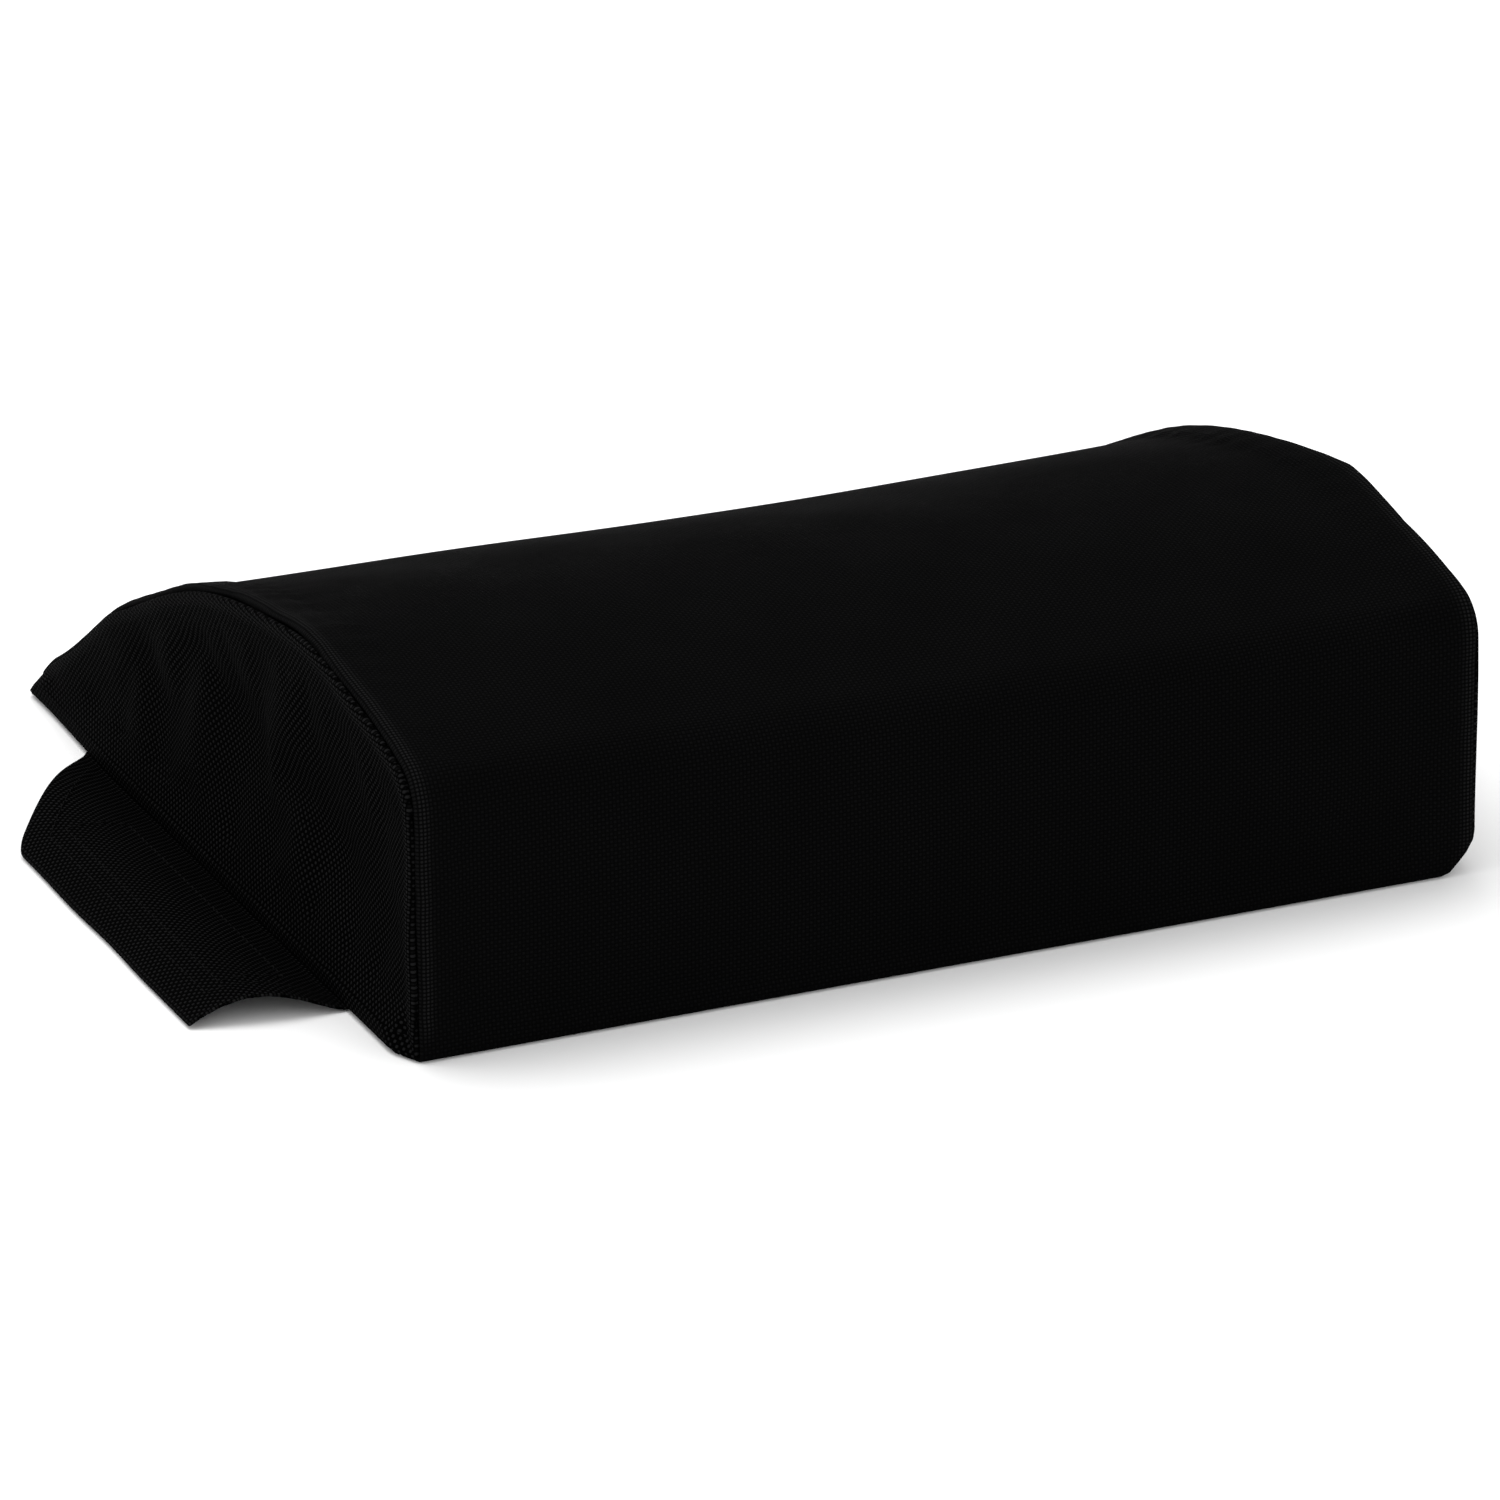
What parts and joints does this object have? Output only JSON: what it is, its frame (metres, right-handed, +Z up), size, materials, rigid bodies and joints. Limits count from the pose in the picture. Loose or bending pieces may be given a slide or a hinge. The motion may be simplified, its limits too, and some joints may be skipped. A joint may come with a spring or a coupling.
{
  "type": "bolster pillow",
  "caption": "Low teardrop-section foam bolster in a zipped woven cover, with a hook-and-loop fixing flap sewn under one end.",
  "frame": {"origin": "the middle of the base between the end panels and between the front wall and the tail edge, on the surface the pillow rests on; the fixing flap is not counted", "axes": "+X along the pillow, away from the fixing flap; +Y from the upright front wall to the low tail with the zip; +Z up"},
  "size_m": [0.4615, 0.3801, 0.1199],
  "materials": {
    "cover_cloth": "coarse plain-woven outdoor polyester, near black, faint sheen",
    "thread": "bonded polyester sewing thread, black",
    "foam": "open-cell polyurethane foam, matt cream",
    "wadding": "bonded polyester fibre, soft white",
    "zip_tape": "dense woven polyester tape, black",
    "zip_teeth": "moulded acetal, satin black",
    "zip_metal": "die-cast zinc with a black enamel coat",
    "hook_tape": "black nylon hooks on a woven tape",
    "loop_tape": "black brushed nylon loops"
  },
  "bodies": {
    "cover": {"wrap_panel": "cover_cloth", "base_panel": "cover_cloth", "left_end_panel": "cover_cloth", "right_end_panel": "cover_cloth", "foam_core": "foam", "wadding_wrap": "wadding", "zip_tape_upper": "zip_tape", "zip_tape_lower": "zip_tape", "zip_teeth_upper": "zip_teeth", "zip_teeth_lower": "zip_teeth", "zip_top_stops": "zip_metal", "zip_bottom_stop": "zip_metal", "zip_end_tab_left": "cover_cloth", "zip_end_tab_right": "cover_cloth", "loop_tape": "loop_tape", "left_end_seam_thread": "thread", "right_end_seam_thread": "thread", "front_seam_thread": "thread", "zip_thread_upper": "thread", "zip_thread_lower": "thread", "loop_tape_thread": "thread"},
    "slider": {"zip_slider": "zip_metal"},
    "pull": {"zip_pull": "zip_metal"},
    "flap": {"fixing_flap": "cover_cloth", "hook_tape": "hook_tape", "flap_hem_thread": "thread", "hook_tape_thread": "thread"}
  },
  "joints": [
    {"name": "flap_fold", "type": "hinge", "parent": "cover", "child": "flap", "pos_m": [-0.2015, 0, 0.0002], "axis": [0, 1, 0], "range_deg": [-170, 60]},
    {"name": "zip_travel", "type": "slide", "parent": "cover", "child": "slider", "axis": [1, 0, 0], "range_m": [0, 0.332]},
    {"name": "pull_swing", "type": "hinge", "parent": "slider", "child": "pull", "pos_m": [-0.1662, 0.18442, 0.0111], "axis": [0, -0.7071, 0.7071], "range_deg": [0, 175]}
  ]
}
